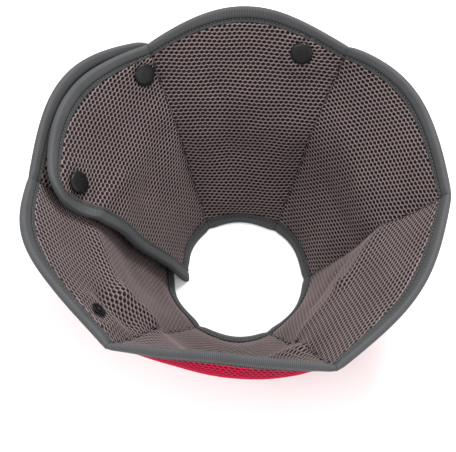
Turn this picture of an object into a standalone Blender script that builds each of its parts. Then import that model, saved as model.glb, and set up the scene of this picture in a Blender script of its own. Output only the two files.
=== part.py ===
"""Soft recovery cone for a dog: seven padded panels sewn into a fan that laps and snaps shut.

The cone stands on its neck end with its mouth up, as it keeps its form when it is snapped shut.
Every panel has an inner and an outer layer of air mesh, a taped rim and a taped neck edge. The two
end panels lap: one lies inside the bowl, the other outside it, and snap fasteners hold them.
Metres, +Z up, the origin under the middle of the whole cone.
"""
import math

import bmesh
import bpy
import numpy as np
from mathutils import Matrix, Vector
from mathutils.bvhtree import BVHTree

# Driving sizes
NECK_RADIUS = 0.066  # axis to the middle of the wall, at the neck edge
RIM_RADIUS = 0.176  # axis to the middle of the wall, at the panels' corners
DEPTH = 0.170  # neck edge to the corners of the rim
LAYER = 0.0038  # one layer of air mesh at its fullest
LAYER_AT_EDGE = 0.0013  # the same layer where stitching flattens it
CROWN_RUN = 0.022  # from a flattened edge to the full thickness
RIDGE_DEPTH = 0.008  # how far the soft crease stands into the bowl
RIDGE_PLACE = 0.62  # the crease's place on the way from neck to rim
RIDGE_SPREAD = 0.16  # the crease's half width, as a share of the same way
BELLY_LIFT = 1.5  # a higher power moves a panel's belly nearer to the rim
TAPE_WIDTH = 0.011  # one leaf of the binding tape
TAPE_THICKNESS = 0.0012
GAP = 0.0003  # left between pieces that touch
TAPE_LIFT = LAYER_AT_EDGE + 1.5 * GAP  # the wall's middle to the tape: half a gap, a layer, a gap
TAPE_FOLD = GAP + TAPE_THICKNESS  # how far the folded tape reaches past the edge that it binds
SEAM_REACH = 0.2  # the share of a panel in which its thickness turns to lie along a seam
CAP_RADIUS = 0.0102
CAP_HEIGHT = 0.0028
POST_RADIUS = 0.0022
SOCKET_RADIUS = 0.0072
SOCKET_HEIGHT = 0.0022
SOCKET_BORE = 0.0032
STUD_RADIUS = 0.0066
STUD_FLANGE = 0.0010
STUD_KNOB = 0.0028  # the knob's radius
KNOB_HEIGHT = 0.0014
SNAP_SIDES = 14
PROBE = 0.012  # how far off a surface a snap's seat is looked for
BORE_LENGTH = 5 * PROBE

# Each seam or free end, clockwise from above: its angle in degrees, its corner's radius as a share
# of RIM_RADIUS, the corner's height as a share of DEPTH, and its foot as a share of NECK_RADIUS.
SEAMS = (
    ("inside_end", 183.0, 0.905, 1.000, 0.78),
    ("lap_back", 118.5, 0.987, 0.990, 0.98),
    ("back_right", 56.0, 1.010, 1.005, 1.00),
    ("right", -1.5, 1.001, 0.995, 1.00),
    ("front_right", -64.7, 1.002, 0.988, 1.00),
    ("front_left", -125.7, 1.001, 1.000, 1.00),
    ("left", -183.1, 1.002, 1.010, 1.00),
    ("outside_end", -246.0, 1.055, 0.915, 1.18),
)

# Each panel lies between two seams of the same order. How far its middle arches out past the
# straight line between the seams, at the crease and at the rim, how far the rim's middle runs on
# past its corners and how far the middle of the panel bellies out are shares of RIM_RADIUS. The
# lean is the place of the fullest point across the panel.
PANELS = (
    ("lap_inside", 0.060, 0.130, 0.090, -0.010, 0.50),
    ("back", 0.060, 0.128, 0.106, -0.010, 0.48),
    ("back_side", 0.060, 0.120, 0.040, -0.010, 0.43),
    ("front_side", 0.035, 0.103, 0.034, -0.010, 0.49),
    ("front", 0.083, -0.012, 0.036, 0.074, 0.46),
    ("left_side", 0.045, 0.070, 0.130, -0.010, 0.57),
    ("lap_outside", 0.060, 0.135, 0.105, -0.010, 0.52),
)

# Snap fasteners that go through a panel: the panel, the place across it, the place from neck to
# rim, the side that the round cap is on and the half on the other side.
SNAPS = (
    ("lap_inside_end", "lap_inside", 0.138, 0.855, "inside", "socket"),
    ("lap_inside_seam", "lap_inside", 0.915, 0.890, "inside", "socket"),
    ("back", "back", 0.795, 0.890, "inside", "socket"),
    ("left_side", "left_side", 0.190, 0.885, "outside", "stud"),
)
# Snap halves that the lap's outer panel carries, each facing the socket of an inner snap.
MATES = ("lap_inside_end", "lap_inside_seam")

# Places of the faceted grid: across a panel, and from neck to rim between the two tapes.
ACROSS = (0.0, 0.04, 0.10, 0.20, 0.35, 0.50, 0.65, 0.80, 0.90, 0.96, 1.0)
ALONG = (0.12, 0.26, 0.42, 0.58, 0.73, 0.86)

# Colour, roughness and metallic value of each material
MATERIALS = {
    "grey_air_mesh": ((0.16, 0.12, 0.12), 0.85, 0.0),
    "crimson_air_mesh": ((0.55, 0.01, 0.05), 0.80, 0.0),
    "binding_tape": ((0.09, 0.095, 0.10), 0.75, 0.0),
    "black_plastic": ((0.012, 0.012, 0.014), 0.35, 0.0),
}


def panel_number(name):
    return [row[0] for row in PANELS].index(name)


def radial(angle):
    return np.array([math.cos(math.radians(angle)), math.sin(math.radians(angle)), 0.0])


def seam_point(number, u):
    """A point on a seam. u is 0 at the neck edge and 1 at the rim, and may be an array."""
    _, angle, rim_share, height_share, neck_share = SEAMS[number]
    foot = NECK_RADIUS * neck_share
    crease = np.exp(-(((u - RIDGE_PLACE) / RIDGE_SPREAD) ** 2))
    radius = foot + (RIM_RADIUS * rim_share - foot) * u - RIDGE_DEPTH * crease
    height = TAPE_FOLD + (DEPTH * height_share - TAPE_FOLD) * u
    return radius[..., None] * radial(angle) + height[..., None] * np.array([0.0, 0.0, 1.0])


def through(u, at_neck, at_ridge, at_rim):
    """A smooth curve in u through three values: at the neck edge, the crease and the rim."""
    first = at_neck * (u - RIDGE_PLACE) * (u - 1) / RIDGE_PLACE
    second = at_ridge * u * (u - 1) / (RIDGE_PLACE * (RIDGE_PLACE - 1))
    third = at_rim * u * (u - RIDGE_PLACE) / (1 - RIDGE_PLACE)
    return first + second + third


def wall_point(panel, s, u):
    """A point on the middle of the wall. s runs across the panel and u from neck to rim, 0 to 1."""
    s, u = np.broadcast_arrays(np.asarray(s, float), np.asarray(u, float))
    _, arch_at_ridge, arch_at_rim, scallop, belly, lean = PANELS[panel]
    first, last = SEAMS[panel], SEAMS[panel + 1]
    half_turn = math.radians(first[1] - last[1]) / 2
    outward = radial((first[1] + last[1]) / 2)
    slope = math.atan2(RIM_RADIUS - NECK_RADIUS, DEPTH)
    up_the_wall = math.sin(slope) * outward + np.array([0.0, 0.0, math.cos(slope)])
    off_the_wall = math.cos(slope) * outward - np.array([0.0, 0.0, math.sin(slope)])
    straight = seam_point(panel, u) * (1 - s[..., None]) + seam_point(panel + 1, u) * s[..., None]
    hump = np.sin(math.pi * np.clip(s, 0, 1) ** (math.log(0.5) / math.log(lean)))
    arch = through(
        u,
        NECK_RADIUS * (first[4] + last[4]) / 2 * (1 - math.cos(half_turn)),
        RIM_RADIUS * arch_at_ridge,
        RIM_RADIUS * arch_at_rim,
    )
    broad_hump = hump * (1.5 - 0.5 * hump**2)
    low_swell = np.sin(math.pi * np.clip(u, 0, 1) ** BELLY_LIFT)
    return (
        straight
        + (arch * hump)[..., None] * outward
        + (RIM_RADIUS * scallop * hump * u**2)[..., None] * up_the_wall
        + (RIM_RADIUS * belly * broad_hump * low_swell)[..., None] * off_the_wall
    )


def unit(vectors):
    return vectors / np.linalg.norm(vectors, axis=-1, keepdims=True)


def slopes(panel, s, u):
    """Unit directions at a point of the wall: across the panel, up the wall and out of it."""
    step = 1e-4
    across = unit(wall_point(panel, s + step, u) - wall_point(panel, s - step, u))
    upward = unit(wall_point(panel, s, u + step) - wall_point(panel, s, u - step))
    return across, upward, unit(np.cross(upward, across))


def thickness_way(panel, s, u):
    """The direction in which thickness is laid on, long enough to keep the thickness square to the
    wall. At a seam it stays in the seam's upright plane, and at the neck edge it is level."""
    s, u = np.broadcast_arrays(s, u)
    _, _, normal = slopes(panel, s, u)
    way = normal
    for number, distance in ((panel, s), (panel + 1, 1 - s)):
        share = np.clip(1 - distance / SEAM_REACH, 0, 1)[..., None] ** 2
        across_seam = np.cross(radial(SEAMS[number][1]), (0.0, 0.0, 1.0))
        in_plane = way - (way @ across_seam)[..., None] * across_seam
        way = unit(way * (1 - share) + in_plane * share)
    share = np.clip(1 - u / SEAM_REACH, 0, 1)[..., None] ** 2
    way = unit(way * (1 - share) + way * np.array([1.0, 1.0, 0.0]) * share)
    return way / np.sum(way * normal, axis=-1, keepdims=True)


def wall_sizes(panel, u):
    """The panel's width at u, and the length of its middle from neck to rim."""
    width = np.linalg.norm(wall_point(panel, 1.0, u) - wall_point(panel, 0.0, u), axis=-1)
    line = wall_point(panel, 0.5, np.linspace(0, 1, 30))
    return width, np.linalg.norm(np.diff(line, axis=0), axis=1).sum()


def taped_ends(panel):
    """How much of a panel's width its end tape takes, at its first side and at its last."""
    taken = TAPE_WIDTH + GAP
    return (taken if panel == 0 else 0.0), (taken if panel == len(PANELS) - 1 else 0.0)


def layer_thickness(panel, s, u):
    """How thick one layer is: flat under the tapes and at the seams, and full in the middle."""
    width, length = wall_sizes(panel, u)
    first, last = taped_ends(panel)
    runs = (
        s * width - first,
        (1 - s) * width - last,
        u * length - TAPE_WIDTH,
        (1 - u) * length - TAPE_WIDTH,
    )
    full = 1.0
    for run in runs:
        full = full * np.sin(math.pi / 2 * np.clip(run / CROWN_RUN, 0, 1))
    return LAYER_AT_EDGE + (LAYER - LAYER_AT_EDGE) * full


def raised(panel, s, u, lift, above=0.0, below=0.0):
    """Points at a height off the wall's middle, positive out of the bowl. They may run on in line
    with the wall, by a length above its rim or by a depth below its neck edge."""
    s, u, lift, above, below = np.broadcast_arrays(s, u, lift, above, below)
    _, upward, _ = slopes(panel, s, u)
    on = above[..., None] - below[..., None] / upward[..., 2:]
    return wall_point(panel, s, u) + thickness_way(panel, s, u) * lift[..., None] + upward * on


def material(name):
    colour, roughness, metallic = MATERIALS[name]
    made = bpy.data.materials.get(name) or bpy.data.materials.new(name)
    made.use_nodes = True
    shader = made.node_tree.nodes["Principled BSDF"]
    shader.inputs["Base Color"].default_value = (*colour, 1.0)
    shader.inputs["Roughness"].default_value = roughness
    shader.inputs["Metallic"].default_value = metallic
    made.diffuse_color = (*colour, 1.0)
    return made


def add_object(name, mesh, material_name, collection):
    made = bpy.data.objects.new(name, mesh)
    mesh.materials.append(material(material_name))
    mesh.shade_smooth()
    mesh.set_sharp_from_angle(angle=math.radians(40))
    collection.objects.link(made)
    return made


def split(quads, points):
    """Each four-sided face as two triangles, cut across its shorter diagonal, so that a piece that
    lies along another bends where the other bends."""
    spans = [np.linalg.norm(points[quads[:, i]] - points[quads[:, i + 2]], axis=1) for i in (0, 1)]
    turned = np.where((spans[0] <= spans[1])[:, None], quads, np.roll(quads, -1, axis=1))
    return np.concatenate([turned[:, [0, 1, 2]], turned[:, [0, 2, 3]]])


def between(name, near, far, material_name, collection):
    """A closed body between two matching grids of points, such as a pad's two faces."""
    rows, columns_made = near.shape[:2]
    index = np.arange(rows * columns_made).reshape(rows, columns_made)
    quads = np.stack([index[:-1, :-1], index[:-1, 1:], index[1:, 1:], index[1:, :-1]], -1)
    edge = np.concatenate([index[0, :-1], index[:-1, -1], index[-1, :0:-1], index[:0:-1, 0]])
    around = np.roll(edge, -1)
    points = np.concatenate([near.reshape(-1, 3), far.reshape(-1, 3)])
    face = split(quads.reshape(-1, 4), points)
    side = np.stack([around, edge, edge + index.size, around + index.size], -1)
    faces = [face, face[:, ::-1] + index.size, split(side, points)]
    mesh = bpy.data.meshes.new(name)
    mesh.from_pydata(points.tolist(), [], np.concatenate(faces).tolist())
    shape = bmesh.new()
    shape.from_mesh(mesh)
    bmesh.ops.recalc_face_normals(shape, faces=shape.faces)
    shape.to_mesh(mesh)
    shape.free()
    return add_object(name, mesh, material_name, collection)


def columns(panel, u, with_free_ends):
    """Places across a panel between its seams, half a gap short of each. On a panel with a free
    end they stop at the end's tape, and with_free_ends adds the end itself."""
    width, _ = wall_sizes(panel, u)
    first, last = (max(GAP / 2, taped) / width for taped in taped_ends(panel))
    places = first + np.array(ACROSS)[:, None] * (1 - first - last)
    if with_free_ends and panel == 0:
        places = np.concatenate([np.zeros_like(places[:1]), places])
    if with_free_ends and panel == len(PANELS) - 1:
        places = np.concatenate([places, np.ones_like(places[:1])])
    return places


def tape_share(panel):
    return TAPE_WIDTH / wall_sizes(panel, 1.0)[1]


def add_pad(panel, side, collection):
    """One mesh layer of a panel. side is 1 for the outer layer and -1 for the inner."""
    tape = tape_share(panel)
    u = np.array([0.0, tape, *ALONG, 1 - tape, 1.0])[None, :]
    s = columns(panel, u, True)
    near = raised(panel, s, u, side * GAP / 2)
    far = raised(panel, s, u, side * (GAP / 2 + layer_thickness(panel, s, u)))
    kind, cloth = ("outer_mesh", "crimson_air_mesh") if side > 0 else ("inner_mesh", "grey_air_mesh")
    return between(f"{kind}_{PANELS[panel][0]}", near, far, cloth, collection)


def tape_path():
    """The folded tape's section: pairs of (distance from the edge, height off the wall)."""
    outer = TAPE_LIFT + TAPE_THICKNESS
    near = [(TAPE_WIDTH, -TAPE_LIFT), (-GAP, -TAPE_LIFT), (-GAP, TAPE_LIFT), (TAPE_WIDTH, TAPE_LIFT)]
    far = [(TAPE_WIDTH, -outer), (-TAPE_FOLD, -outer), (-TAPE_FOLD, outer), (TAPE_WIDTH, outer)]
    return np.array(near), np.array(far)


def add_edge_tape(panel, at_rim, collection):
    """Tape folded over a panel's rim, or over its neck edge, where its fold lies level."""
    length = wall_sizes(panel, 1.0)[1]
    grids = []
    for path in tape_path():
        distance, lift = path[:, 0][None, :], path[:, 1][None, :]
        inside = np.maximum(distance, 0) / length
        past = np.maximum(-distance, 0)
        u = 1 - inside if at_rim else inside
        s = columns(panel, u, False)
        ways = {"above": past} if at_rim else {"below": past}
        grids.append(raised(panel, s, u, lift, **ways))
    place = "rim" if at_rim else "neck"
    return between(f"{place}_tape_{PANELS[panel][0]}", *grids, "binding_tape", collection)


def add_end_tape(panel, at_start, collection):
    """Tape folded over a free end of the fan, from the neck edge to the rim."""
    tape = tape_share(panel)
    u = np.array([0.0, tape, *ALONG, 1 - tape, 1.0])[:, None]
    width, _ = wall_sizes(panel, u)
    grids = []
    for path in tape_path():
        inside = path[:, 0][None, :] / width
        s = inside if at_start else 1 - inside
        lift = path[:, 1][None, :]
        above, below = np.where(u == 1.0, TAPE_FOLD, 0.0), np.where(u == 0.0, TAPE_FOLD, 0.0)
        grids.append(raised(panel, s, u, lift, above, below))
    return between(f"end_tape_{PANELS[panel][0]}", *grids, "binding_tape", collection)


def add_turned(name, profile, material_name, collection, place):
    """A round piece from a profile of (radius, height) that runs down its outer side."""
    mesh = bpy.data.meshes.new(name)
    points = [(radius, 0.0, height) for radius, height in profile]
    mesh.from_pydata(points, [(i, i + 1) for i in range(len(points) - 1)], [])
    made = add_object(name, mesh, material_name, collection)
    turn = made.modifiers.new("turn", "SCREW")
    turn.steps = turn.render_steps = SNAP_SIDES
    turn.use_merge_vertices = True
    turn.merge_threshold = 1e-5
    made.matrix_world = place
    return made


def cap_profile(post_length):
    """A low domed cap with a shallow ring in its face, and the post under it."""
    lip = 0.15 * CAP_RADIUS
    return [
        (0.0, CAP_HEIGHT * 0.86),
        (0.45 * CAP_RADIUS, CAP_HEIGHT * 0.86),
        (0.62 * CAP_RADIUS, CAP_HEIGHT),
        (CAP_RADIUS - lip, CAP_HEIGHT * 0.92),
        (CAP_RADIUS, CAP_HEIGHT * 0.45),
        (CAP_RADIUS, 0.0),
        (POST_RADIUS, 0.0),
        (POST_RADIUS, -post_length),
        (0.0, -post_length),
    ]


def socket_profile(height):
    bore_floor = height - KNOB_HEIGHT - GAP
    return [
        (0.0, bore_floor),
        (SOCKET_BORE, bore_floor),
        (SOCKET_BORE, height),
        (0.72 * SOCKET_RADIUS, height),
        (SOCKET_RADIUS, 0.55 * height),
        (SOCKET_RADIUS, 0.0),
        (0.0, 0.0),
    ]


def stud_profile(flange):
    return [
        (0.0, flange + KNOB_HEIGHT),
        (0.8 * STUD_KNOB, flange + KNOB_HEIGHT),
        (STUD_KNOB, flange + 0.6 * KNOB_HEIGHT),
        (0.85 * STUD_KNOB, flange),
        (STUD_RADIUS, flange),
        (STUD_RADIUS, 0.0),
        (0.0, 0.0),
    ]


def frame_at(point, axis):
    """A placement with its own +Z along the axis."""
    turn = Vector(axis).to_track_quat("Z", "Y").to_matrix().to_4x4()
    return Matrix.Translation(Vector(point)) @ turn


def seat(surface, point, axis, radius):
    """How far along the axis, from the point, a flat disc clears the surface that it rests on.
    The surface is looked for from far out along the axis, back towards the point."""
    turn = frame_at(point, axis)
    found = []
    for ring in (0.0, 0.5, 1.0):
        for k in range(SNAP_SIDES):
            angle = 2 * math.pi * k / SNAP_SIDES
            spot = (ring * radius * math.cos(angle), ring * radius * math.sin(angle), PROBE)
            hit = surface.ray_cast(turn @ Vector(spot), -Vector(axis), 2 * PROBE)
            if hit[0] is not None:
                found.append(PROBE - hit[3])
    return max(found) + GAP


def tree_of(pad):
    mesh = pad.data
    return BVHTree.FromPolygons([v.co for v in mesh.vertices], [p.vertices[:] for p in mesh.polygons])


def add_cap(name, place, post_length, collection):
    return add_turned(name, cap_profile(post_length), "black_plastic", collection, place)


def add_snap(row, pads, trees, collection, cutters):
    """A cap with a post through the pads, and a socket or a stud on the other side. It gives back
    the place and the axis of the half opposite the cap, and how high that half stands."""
    name, panel_name, s, u, cap_side, half = row
    panel = panel_number(panel_name)
    side = -1 if cap_side == "inside" else 1
    middle = wall_point(panel, s, u)
    out = unit(thickness_way(panel, s, u))
    cap_axis, half_axis = side * out, -side * out
    cap_seat = seat(trees[panel, side], middle, cap_axis, CAP_RADIUS)
    half_radius = SOCKET_RADIUS if half == "socket" else STUD_RADIUS
    half_seat = seat(trees[panel, -side], middle, half_axis, half_radius)
    cap_place = frame_at(middle + cap_axis * cap_seat, cap_axis)
    add_cap(f"snap_cap_{name}", cap_place, cap_seat + half_seat - GAP, collection)
    if half == "socket":
        profile, height = socket_profile(SOCKET_HEIGHT), SOCKET_HEIGHT
    else:
        profile, height = stud_profile(STUD_FLANGE), STUD_FLANGE
    half_place = frame_at(middle + half_axis * half_seat, half_axis)
    add_turned(f"snap_{half}_{name}", profile, "black_plastic", collection, half_place)
    bore(middle, out, (pads[panel, 1], pads[panel, -1]), cutters, name)
    return middle + half_axis * (half_seat + height), half_axis


def add_mate(name, socket_top, axis, pads, trees, collection, cutters):
    """The stud that fills the space between a socket and the outer lap, and its cap outside."""
    panel = len(PANELS) - 1
    inner_seat = -seat(trees[panel, -1], socket_top, -axis, STUD_RADIUS)
    outer_seat = seat(trees[panel, 1], socket_top, axis, CAP_RADIUS)
    flange = inner_seat - GAP
    place = frame_at(socket_top + axis * inner_seat, -axis)
    add_turned(f"snap_stud_{name}_mate", stud_profile(flange), "black_plastic", collection, place)
    cap_place = frame_at(socket_top + axis * outer_seat, axis)
    add_cap(f"snap_cap_{name}_mate", cap_place, outer_seat - inner_seat - GAP, collection)
    bore(socket_top, axis, (pads[panel, 1], pads[panel, -1]), cutters, f"{name}_mate")


def bore(point, axis, pads, cutters, name):
    """A hole for a snap's post through both layers of a panel."""
    bpy.ops.mesh.primitive_cylinder_add(
        vertices=SNAP_SIDES, radius=POST_RADIUS + GAP, depth=BORE_LENGTH
    )
    cutter = bpy.context.object
    cutter.name = f"bore_{name}"
    cutter.matrix_world = frame_at(point, axis)
    for owner in list(cutter.users_collection):
        owner.objects.unlink(cutter)
    cutters.objects.link(cutter)
    cutter.hide_render = True
    cutter.display_type = "WIRE"
    for pad in pads:
        cut = pad.modifiers.new(cutter.name, "BOOLEAN")
        cut.operation = "DIFFERENCE"
        cut.solver = "EXACT"
        cut.object = cutter


def middle_of_cone():
    """The middle, seen from above, of everything that reaches out furthest: the rim's tape."""
    outline = []
    for panel in range(len(PANELS)):
        s, u = np.meshgrid(np.array(ACROSS), np.array([*ALONG, 1.0]))
        outline.append(raised(panel, s, u, TAPE_LIFT + TAPE_THICKNESS).reshape(-1, 3))
    outline = np.concatenate(outline)
    return (outline.min(axis=0) + outline.max(axis=0)) / 2


def main():
    for old in list(bpy.data.objects):
        bpy.data.objects.remove(old)
    cone = bpy.data.collections.new("soft_recovery_cone")
    cutters = bpy.data.collections.new("cutters")
    for collection in (cone, cutters):
        bpy.context.scene.collection.children.link(collection)
    pads, trees = {}, {}
    for panel in range(len(PANELS)):
        for side in (-1, 1):
            pads[panel, side] = add_pad(panel, side, cone)
            trees[panel, side] = tree_of(pads[panel, side])
        for at_rim in (True, False):
            add_edge_tape(panel, at_rim, cone)
    add_end_tape(0, True, cone)
    add_end_tape(len(PANELS) - 1, False, cone)
    for row in SNAPS:
        top, axis = add_snap(row, pads, trees, cone, cutters)
        if row[0] in MATES:
            add_mate(row[0], top, axis, pads, trees, cone, cutters)
    centre = bpy.data.objects.new("centre", None)
    cone.objects.link(centre)
    for made in list(cone.objects) + list(cutters.objects):
        if made is not centre:
            made.parent = centre
    x, y, _ = middle_of_cone()
    centre.location = (-x, -y, 0.0)


main()
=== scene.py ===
"""Soft recovery cone: the sewn air-mesh panels, binding tape, stitching and snaps, dressed over the CAD.

The fan of seven panels stands on its neck end with its mouth up. Each panel is a pair of thin pads
whose faces carry an open net of hexagon holes, bound at the rim and at the neck with ribbed tape.
"""
import math

import bmesh
import bpy
import numpy as np
from mathutils import Matrix, Vector


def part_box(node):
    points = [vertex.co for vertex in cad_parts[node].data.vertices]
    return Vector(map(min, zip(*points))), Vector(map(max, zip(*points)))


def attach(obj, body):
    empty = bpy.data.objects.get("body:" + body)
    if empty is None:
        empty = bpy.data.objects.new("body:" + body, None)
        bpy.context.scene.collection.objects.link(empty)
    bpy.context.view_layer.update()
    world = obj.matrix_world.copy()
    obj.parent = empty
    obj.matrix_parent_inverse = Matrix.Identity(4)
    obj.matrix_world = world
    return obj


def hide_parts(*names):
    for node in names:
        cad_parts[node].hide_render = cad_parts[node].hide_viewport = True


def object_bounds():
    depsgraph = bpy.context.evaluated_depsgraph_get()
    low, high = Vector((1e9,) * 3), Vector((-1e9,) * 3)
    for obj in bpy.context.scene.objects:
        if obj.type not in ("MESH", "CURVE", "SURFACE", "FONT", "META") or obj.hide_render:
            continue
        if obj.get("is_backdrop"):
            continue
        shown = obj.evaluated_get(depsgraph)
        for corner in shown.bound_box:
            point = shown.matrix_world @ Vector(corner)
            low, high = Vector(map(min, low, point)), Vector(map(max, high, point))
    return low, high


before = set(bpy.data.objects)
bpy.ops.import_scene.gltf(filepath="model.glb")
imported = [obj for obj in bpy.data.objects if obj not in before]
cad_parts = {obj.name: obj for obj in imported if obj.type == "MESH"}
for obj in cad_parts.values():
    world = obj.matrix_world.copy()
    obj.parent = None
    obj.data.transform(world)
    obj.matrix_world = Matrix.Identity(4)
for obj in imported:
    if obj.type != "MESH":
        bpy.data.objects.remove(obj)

bl_info = {
    "name": "Soft recovery cone",
    "version": (1, 0, 0),
    "blender": (4, 5, 0),
    "location": "3D View > Sidebar > Recovery cone",
    "description": "Makes the panels, nets, tapes, stitches and snaps of a soft recovery cone",
    "category": "Object",
}

# The sewn form, as the CAD has it, in metres
NECK_RADIUS = 0.066
RIM_RADIUS = 0.176
DEPTH = 0.170
LAYER = 0.0038
LAYER_AT_EDGE = 0.0013
CROWN_RUN = 0.022
RIDGE_DEPTH = 0.008
RIDGE_PLACE = 0.62
RIDGE_SPREAD = 0.16
BELLY_LIFT = 1.5
TAPE_WIDTH = 0.011
TAPE_THICKNESS = 0.0012
GAP = 0.0003
TAPE_LIFT = LAYER_AT_EDGE + 1.5 * GAP
TAPE_FOLD = GAP + TAPE_THICKNESS
SEAM_REACH = 0.2
CAP_RADIUS = 0.0102
CAP_HEIGHT = 0.0028
POST_RADIUS = 0.0022
SOCKET_RADIUS = 0.0072
SOCKET_BORE = 0.0032
STUD_RADIUS = 0.0066
STUD_KNOB = 0.0028
KNOB_HEIGHT = 0.0014

# Each seam, clockwise from above: its angle in degrees, then its corner's radius, its corner's height
# and its foot's radius, as shares of the rim's radius, the depth and the neck's radius
SEAMS = (
    ("inside_end", 183.0, 0.905, 1.000, 0.78),
    ("lap_back", 118.5, 0.987, 0.990, 0.98),
    ("back_right", 56.0, 1.010, 1.005, 1.00),
    ("right", -1.5, 1.001, 0.995, 1.00),
    ("front_right", -64.7, 1.002, 0.988, 1.00),
    ("front_left", -125.7, 1.001, 1.000, 1.00),
    ("left", -183.1, 1.002, 1.010, 1.00),
    ("outside_end", -246.0, 1.055, 0.915, 1.18),
)
# Each panel: arch at the crease and at the rim, scallop, belly, and the place of its fullest point
PANELS = (
    ("lap_inside", 0.060, 0.130, 0.090, -0.010, 0.50),
    ("back", 0.060, 0.128, 0.106, -0.010, 0.48),
    ("back_side", 0.060, 0.120, 0.040, -0.010, 0.43),
    ("front_side", 0.035, 0.103, 0.034, -0.010, 0.49),
    ("front", 0.083, -0.012, 0.036, 0.074, 0.46),
    ("left_side", 0.045, 0.070, 0.130, -0.010, 0.57),
    ("lap_outside", 0.060, 0.135, 0.105, -0.010, 0.52),
)
LAST = len(PANELS) - 1
FREE_ENDS = (0, LAST)
FLAP_LIFT = 0.0045  # how far the flap's free end stands off the panel behind it
HOLE_SLANT = 0.28  # how far a hole leans along its row, as a share of its height
NET_WAVER = 0.00030  # height of each of the slow waves in the net's rows
NET_PULL = 0.20  # how much nearer a snap draws the net round it, as a share of the distance
PULL_REACH = 0.019  # how far from a snap that pull fades to about a third
STITCH_IN = 0.0030  # from a tape's inner edge to its row of stitches
CORNER = 0.020  # radius of the rounded corner between a free end and the rim
INNER = -1
OUTER = 1
SIDE_WORDS = {INNER: "inner", OUTER: "outer"}

# Snaps: the panel, the place across it, the place up it, the cap's side and the half opposite
SNAPS = (
    ("lap_inside_end", 0, 0.138, 0.855, INNER, "socket"),
    ("lap_inside_seam", 0, 0.915, 0.890, INNER, "socket"),
    ("back", 1, 0.795, 0.890, INNER, "socket"),
    ("left_side", 5, 0.190, 0.885, OUTER, "stud"),
)
MATES = ("lap_inside_end", "lap_inside_seam")

# Creases: the panel, the first and last (across, up), the height out of the bowl, the half width
CREASES = (
    (3, 0.02, 0.66, 0.49, 0.59, -0.0030, 0.009), (3, 0.49, 0.59, 0.97, 0.53, -0.0030, 0.009),
    (5, 0.80, 0.66, 0.30, 0.68, -0.0030, 0.009), (5, 0.30, 0.66, 0.04, 0.58, -0.0050, 0.008),
    (5, 0.26, 0.78, 0.12, 0.74, 0.0062, 0.011), (0, 0.34, 0.66, 0.03, 0.75, -0.0026, 0.008),
    (1, 0.78, 0.84, 0.60, 0.52, -0.0016, 0.010), (1, 0.30, 0.74, 0.40, 0.40, 0.0014, 0.010),
    (2, 0.20, 0.70, 0.62, 0.60, -0.0014, 0.012), (2, 0.35, 0.42, 0.80, 0.40, 0.0014, 0.010),
    (3, 0.18, 0.40, 0.60, 0.34, 0.0016, 0.009), (4, 0.03, 0.66, 0.34, 0.46, -0.0040, 0.008),
    (6, 0.20, 0.45, 0.75, 0.60, 0.0022, 0.012), (6, 0.25, 0.72, 0.60, 0.80, -0.0016, 0.012),
    (1, 0.20, 0.60, 0.85, 0.66, 0.0012, 0.012), (0, 0.45, 0.50, 0.85, 0.62, 0.0014, 0.012),
)

# The camera, as the photograph was taken: metres, degrees and pixels of a 456 by 452 picture
PICTURE = (456, 452)
VIEW_ELEVATION = 59.0
VIEW_DISTANCE = 0.900
VIEW_FOCAL = 1070.5
MOUTH_AT = (238.6, 188.7)


def size(name, text, default, low, high):
    """A length in metres that the panel shows."""
    return bpy.props.FloatProperty(
        name=name, description=text, default=default, min=low, max=high,
        subtype="DISTANCE", unit="LENGTH", precision=5,
    )


def colour(name, text, default):
    """A colour that the panel shows, linear red, green and blue."""
    return bpy.props.FloatVectorProperty(
        name=name, description=text, default=default, size=3, min=0.0, max=1.0, subtype="COLOR",
    )


class ConeSizes(bpy.types.PropertyGroup):
    """Sizes of the cloth's detail."""

    hole_pitch: size("Hole pitch", "From hole to hole along a row of the net", 0.0046, 0.002, 0.02)
    row_pitch: size("Row pitch", "From row to row of the net", 0.0034, 0.002, 0.02)
    net_height: size("Net height", "How proud the strands stand", 0.0010, 0.0002, 0.002)
    strand: size("Strand", "Width of the net's strands", 0.0015, 0.0004, 0.004)
    rib_pitch: size("Rib pitch", "From rib to rib of the binding tape", 0.00150, 0.0006, 0.004)
    rib_height: size("Rib height", "Height of the tape's ribs", 0.00022, 0.0, 0.0005)
    stitch: size("Stitch", "Length of one stitch", 0.0026, 0.001, 0.01)
    thread: size("Thread", "Radius of the sewing thread", 0.00030, 0.0001, 0.001)
    drift: size("Unevenness", "How far the cloth strays from its pattern", 0.0014, 0.0, 0.004)


class ConeColours(bpy.types.PropertyGroup):
    """Colours of the cloth, tape and plastic."""

    grey_net: colour("Grey net", "Strands of the inner net", (0.150, 0.115, 0.115))
    # Painted shade: both pads are given about the darkness the holes show, the backing's own tone with
    # the holes' shade painted in
    grey_pad: colour("Grey pad", "Cloth seen through the inner net", (0.013, 0.009, 0.010))
    crimson_net: colour("Crimson net", "Strands of the outer net", (0.430, 0.0010, 0.038))
    crimson_pad: colour("Crimson pad", "Cloth seen through the outer net", (0.300, 0.0010, 0.016))
    tape: colour("Binding tape", "Ribbed tape round the edges", (0.051, 0.052, 0.054))
    thread: colour("Thread", "Sewing thread", (0.075, 0.073, 0.075))
    plastic: colour("Plastic", "Snap caps, sockets and studs", (0.0040, 0.0040, 0.0045))
    floor: colour("Floor", "The pale floor", (0.93, 0.93, 0.93))


def radial(angle):
    """The level direction at an angle in degrees, anticlockwise from +X."""
    return np.array([math.cos(math.radians(angle)), math.sin(math.radians(angle)), 0.0])


def unit(vectors):
    """Vectors divided by their lengths."""
    return vectors / np.linalg.norm(vectors, axis=-1, keepdims=True)


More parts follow.
